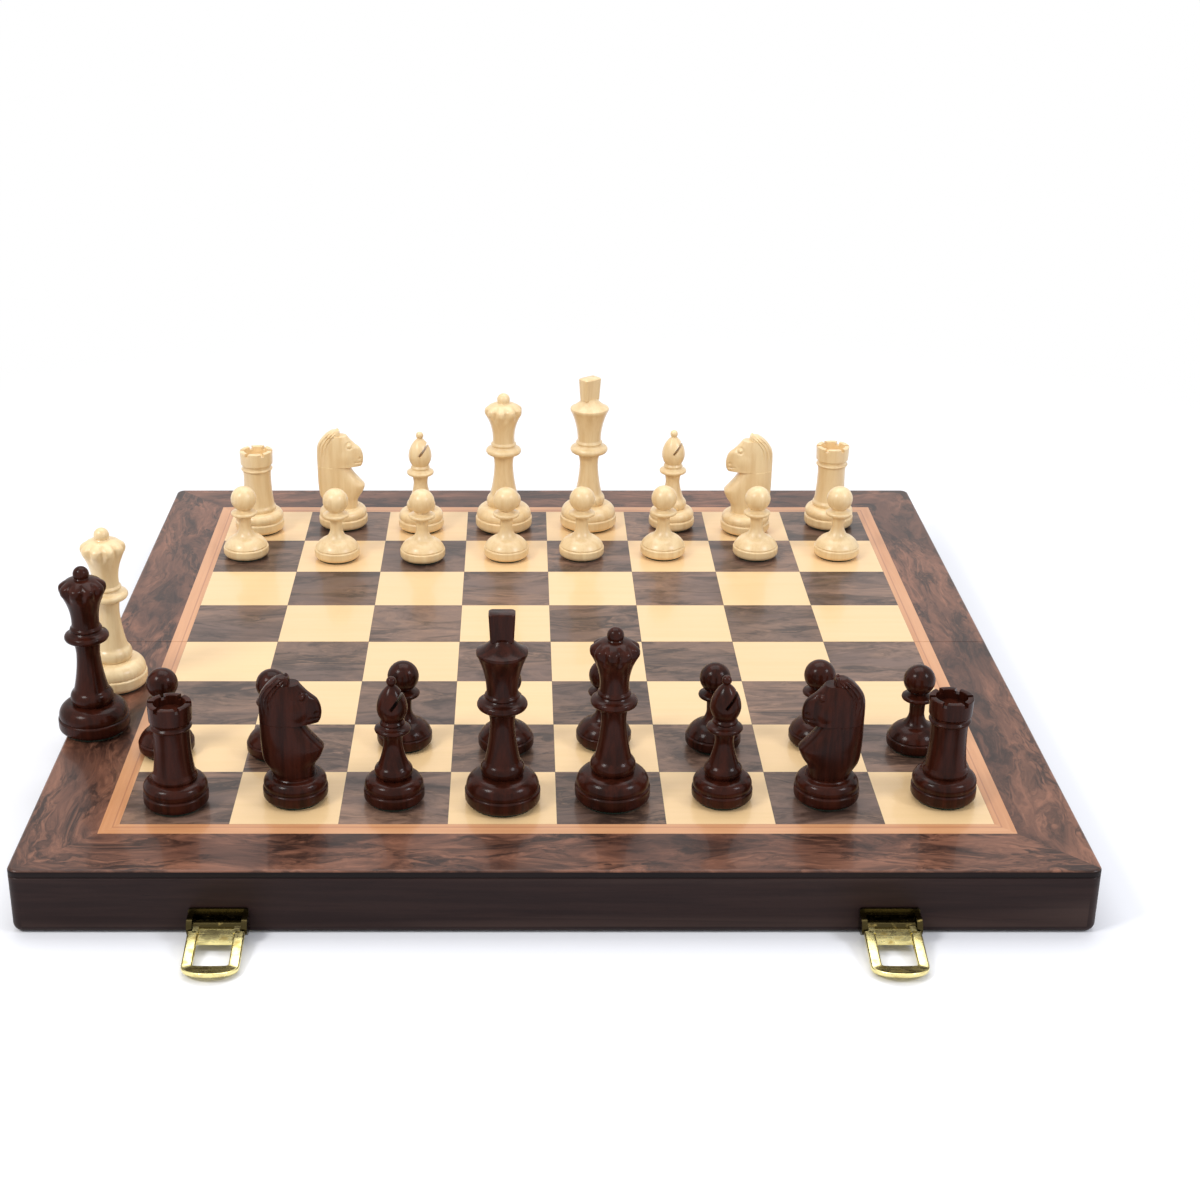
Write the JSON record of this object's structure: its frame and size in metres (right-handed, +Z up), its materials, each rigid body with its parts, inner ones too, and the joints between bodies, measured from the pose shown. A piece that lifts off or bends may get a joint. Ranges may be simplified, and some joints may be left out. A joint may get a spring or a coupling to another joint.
{
  "type": "magnetic folding chess set",
  "caption": "Wooden case that opens flat into a veneered chess board, with hinged halves, swinging hasps and turned magnetic chess pieces that lift off.",
  "frame": {"origin": "middle of the seam between the two halves, on the plane of the rims, on the fold's axis", "axes": "+Z up through the playing side, +X along the seam to the right, +Y from the half with the hasps to the half with the keeper plates"},
  "size_m": [0.3938, 0.4272, 0.1055],
  "materials": {
    "dark_frame_wood": "satin lacquer over dark stained wood",
    "dark_panel_wood": "satin lacquer over dark stained wood",
    "border_burl": "glossy lacquered burl veneer",
    "inlay_veneer": "glossy lacquered reddish veneer",
    "dark_square_veneer": "glossy lacquered walnut burl veneer",
    "light_square_veneer": "glossy lacquered maple veneer",
    "lining_felt": "short napped felt",
    "steel_sheet": "plain cold rolled sheet",
    "fitting_brass": "polished brass plate",
    "light_boxwood": "satin lacquered boxwood",
    "dark_rosewood": "glossy lacquered dark rosewood"
  },
  "bodies": {
    "front_half": {"front_frame_rails": "dark_frame_wood", "front_panel": "dark_panel_wood", "front_steel_sheet": "steel_sheet", "front_border_veneer": "border_burl", "front_inlay_strips": "inlay_veneer", "front_dark_squares": "dark_square_veneer", "front_light_squares": "light_square_veneer", "front_lining": "lining_felt", "front_hinge_leaves": "fitting_brass", "front_screws": "fitting_brass", "hinge_pins": "fitting_brass", "latch_brackets": "fitting_brass", "latch_pins": "fitting_brass"},
    "back_half": {"back_frame_rails": "dark_frame_wood", "back_panel": "dark_panel_wood", "back_steel_sheet": "steel_sheet", "back_border_veneer": "border_burl", "back_inlay_strips": "inlay_veneer", "back_dark_squares": "dark_square_veneer", "back_light_squares": "light_square_veneer", "back_lining": "lining_felt", "back_hinge_leaves": "fitting_brass", "back_screws": "fitting_brass", "keeper_plates": "fitting_brass"},
    "left_hasp": {"left_hasp": "fitting_brass"},
    "right_hasp": {"right_hasp": "fitting_brass"},
    "light_rook_a": {"light_rook_a": "light_boxwood"},
    "light_knight_b": {"light_knight_b": "light_boxwood"},
    "light_bishop_c": {"light_bishop_c": "light_boxwood"},
    "light_queen_d": {"light_queen_d": "light_boxwood"},
    "light_king_e": {"light_king_e": "light_boxwood"},
    "light_bishop_f": {"light_bishop_f": "light_boxwood"},
    "light_knight_g": {"light_knight_g": "light_boxwood"},
    "light_rook_h": {"light_rook_h": "light_boxwood"},
    "light_pawn_a": {"light_pawn_a": "light_boxwood"},
    "light_pawn_b": {"light_pawn_b": "light_boxwood"},
    "light_pawn_c": {"light_pawn_c": "light_boxwood"},
    "light_pawn_d": {"light_pawn_d": "light_boxwood"},
    "light_pawn_e": {"light_pawn_e": "light_boxwood"},
    "light_pawn_f": {"light_pawn_f": "light_boxwood"},
    "light_pawn_g": {"light_pawn_g": "light_boxwood"},
    "light_pawn_h": {"light_pawn_h": "light_boxwood"},
    "dark_pawn_a": {"dark_pawn_a": "dark_rosewood"},
    "dark_pawn_b": {"dark_pawn_b": "dark_rosewood"},
    "dark_pawn_c": {"dark_pawn_c": "dark_rosewood"},
    "dark_pawn_d": {"dark_pawn_d": "dark_rosewood"},
    "dark_pawn_e": {"dark_pawn_e": "dark_rosewood"},
    "dark_pawn_f": {"dark_pawn_f": "dark_rosewood"},
    "dark_pawn_g": {"dark_pawn_g": "dark_rosewood"},
    "dark_pawn_h": {"dark_pawn_h": "dark_rosewood"},
    "dark_rook_a": {"dark_rook_a": "dark_rosewood"},
    "dark_knight_b": {"dark_knight_b": "dark_rosewood"},
    "dark_bishop_c": {"dark_bishop_c": "dark_rosewood"},
    "dark_king_d": {"dark_king_d": "dark_rosewood"},
    "dark_queen_e": {"dark_queen_e": "dark_rosewood"},
    "dark_bishop_f": {"dark_bishop_f": "dark_rosewood"},
    "dark_knight_g": {"dark_knight_g": "dark_rosewood"},
    "dark_rook_h": {"dark_rook_h": "dark_rosewood"},
    "light_spare_queen": {"light_spare_queen": "light_boxwood"},
    "dark_spare_queen": {"dark_spare_queen": "dark_rosewood"}
  },
  "joints": [
    {"name": "board_fold", "type": "hinge", "parent": "front_half", "child": "back_half", "pos_m": [0, 0, 0], "axis": [-1, 0, 0], "range_deg": [0, 180]},
    {"name": "left_hasp_swing", "type": "hinge", "parent": "front_half", "child": "left_hasp", "pos_m": [-0.12, -0.1992, 0.006], "axis": [1, 0, 0], "range_deg": [-85, 79.5]},
    {"name": "right_hasp_swing", "type": "hinge", "parent": "front_half", "child": "right_hasp", "pos_m": [0.12, -0.1992, 0.006], "axis": [1, 0, 0], "range_deg": [-85, 79.5]},
    {"name": "light_rook_a_lift", "type": "slide", "parent": "back_half", "child": "light_rook_a", "axis": [0, 0, 1], "range_m": [0, 0.12]},
    {"name": "light_knight_b_lift", "type": "slide", "parent": "back_half", "child": "light_knight_b", "axis": [0, 0, 1], "range_m": [0, 0.12]},
    {"name": "light_bishop_c_lift", "type": "slide", "parent": "back_half", "child": "light_bishop_c", "axis": [0, 0, 1], "range_m": [0, 0.12]},
    {"name": "light_queen_d_lift", "type": "slide", "parent": "back_half", "child": "light_queen_d", "axis": [0, 0, 1], "range_m": [0, 0.12]},
    {"name": "light_king_e_lift", "type": "slide", "parent": "back_half", "child": "light_king_e", "axis": [0, 0, 1], "range_m": [0, 0.12]},
    {"name": "light_bishop_f_lift", "type": "slide", "parent": "back_half", "child": "light_bishop_f", "axis": [0, 0, 1], "range_m": [0, 0.12]},
    {"name": "light_knight_g_lift", "type": "slide", "parent": "back_half", "child": "light_knight_g", "axis": [0, 0, 1], "range_m": [0, 0.12]},
    {"name": "light_rook_h_lift", "type": "slide", "parent": "back_half", "child": "light_rook_h", "axis": [0, 0, 1], "range_m": [0, 0.12]},
    {"name": "light_pawn_a_lift", "type": "slide", "parent": "back_half", "child": "light_pawn_a", "axis": [0, 0, 1], "range_m": [0, 0.12]},
    {"name": "light_pawn_b_lift", "type": "slide", "parent": "back_half", "child": "light_pawn_b", "axis": [0, 0, 1], "range_m": [0, 0.12]},
    {"name": "light_pawn_c_lift", "type": "slide", "parent": "back_half", "child": "light_pawn_c", "axis": [0, 0, 1], "range_m": [0, 0.12]},
    {"name": "light_pawn_d_lift", "type": "slide", "parent": "back_half", "child": "light_pawn_d", "axis": [0, 0, 1], "range_m": [0, 0.12]},
    {"name": "light_pawn_e_lift", "type": "slide", "parent": "back_half", "child": "light_pawn_e", "axis": [0, 0, 1], "range_m": [0, 0.12]},
    {"name": "light_pawn_f_lift", "type": "slide", "parent": "back_half", "child": "light_pawn_f", "axis": [0, 0, 1], "range_m": [0, 0.12]},
    {"name": "light_pawn_g_lift", "type": "slide", "parent": "back_half", "child": "light_pawn_g", "axis": [0, 0, 1], "range_m": [0, 0.12]},
    {"name": "light_pawn_h_lift", "type": "slide", "parent": "back_half", "child": "light_pawn_h", "axis": [0, 0, 1], "range_m": [0, 0.12]},
    {"name": "dark_pawn_a_lift", "type": "slide", "parent": "front_half", "child": "dark_pawn_a", "axis": [0, 0, 1], "range_m": [0, 0.12]},
    {"name": "dark_pawn_b_lift", "type": "slide", "parent": "front_half", "child": "dark_pawn_b", "axis": [0, 0, 1], "range_m": [0, 0.12]},
    {"name": "dark_pawn_c_lift", "type": "slide", "parent": "front_half", "child": "dark_pawn_c", "axis": [0, 0, 1], "range_m": [0, 0.12]},
    {"name": "dark_pawn_d_lift", "type": "slide", "parent": "front_half", "child": "dark_pawn_d", "axis": [0, 0, 1], "range_m": [0, 0.12]},
    {"name": "dark_pawn_e_lift", "type": "slide", "parent": "front_half", "child": "dark_pawn_e", "axis": [0, 0, 1], "range_m": [0, 0.12]},
    {"name": "dark_pawn_f_lift", "type": "slide", "parent": "front_half", "child": "dark_pawn_f", "axis": [0, 0, 1], "range_m": [0, 0.12]},
    {"name": "dark_pawn_g_lift", "type": "slide", "parent": "front_half", "child": "dark_pawn_g", "axis": [0, 0, 1], "range_m": [0, 0.12]},
    {"name": "dark_pawn_h_lift", "type": "slide", "parent": "front_half", "child": "dark_pawn_h", "axis": [0, 0, 1], "range_m": [0, 0.12]},
    {"name": "dark_rook_a_lift", "type": "slide", "parent": "front_half", "child": "dark_rook_a", "axis": [0, 0, 1], "range_m": [0, 0.12]},
    {"name": "dark_knight_b_lift", "type": "slide", "parent": "front_half", "child": "dark_knight_b", "axis": [0, 0, 1], "range_m": [0, 0.12]},
    {"name": "dark_bishop_c_lift", "type": "slide", "parent": "front_half", "child": "dark_bishop_c", "axis": [0, 0, 1], "range_m": [0, 0.12]},
    {"name": "dark_king_d_lift", "type": "slide", "parent": "front_half", "child": "dark_king_d", "axis": [0, 0, 1], "range_m": [0, 0.12]},
    {"name": "dark_queen_e_lift", "type": "slide", "parent": "front_half", "child": "dark_queen_e", "axis": [0, 0, 1], "range_m": [0, 0.12]},
    {"name": "dark_bishop_f_lift", "type": "slide", "parent": "front_half", "child": "dark_bishop_f", "axis": [0, 0, 1], "range_m": [0, 0.12]},
    {"name": "dark_knight_g_lift", "type": "slide", "parent": "front_half", "child": "dark_knight_g", "axis": [0, 0, 1], "range_m": [0, 0.12]},
    {"name": "dark_rook_h_lift", "type": "slide", "parent": "front_half", "child": "dark_rook_h", "axis": [0, 0, 1], "range_m": [0, 0.12]},
    {"name": "light_spare_queen_lift", "type": "slide", "parent": "front_half", "child": "light_spare_queen", "axis": [0, 0, 1], "range_m": [0, 0.12]},
    {"name": "dark_spare_queen_lift", "type": "slide", "parent": "front_half", "child": "dark_spare_queen", "axis": [0, 0, 1], "range_m": [0, 0.12]}
  ]
}
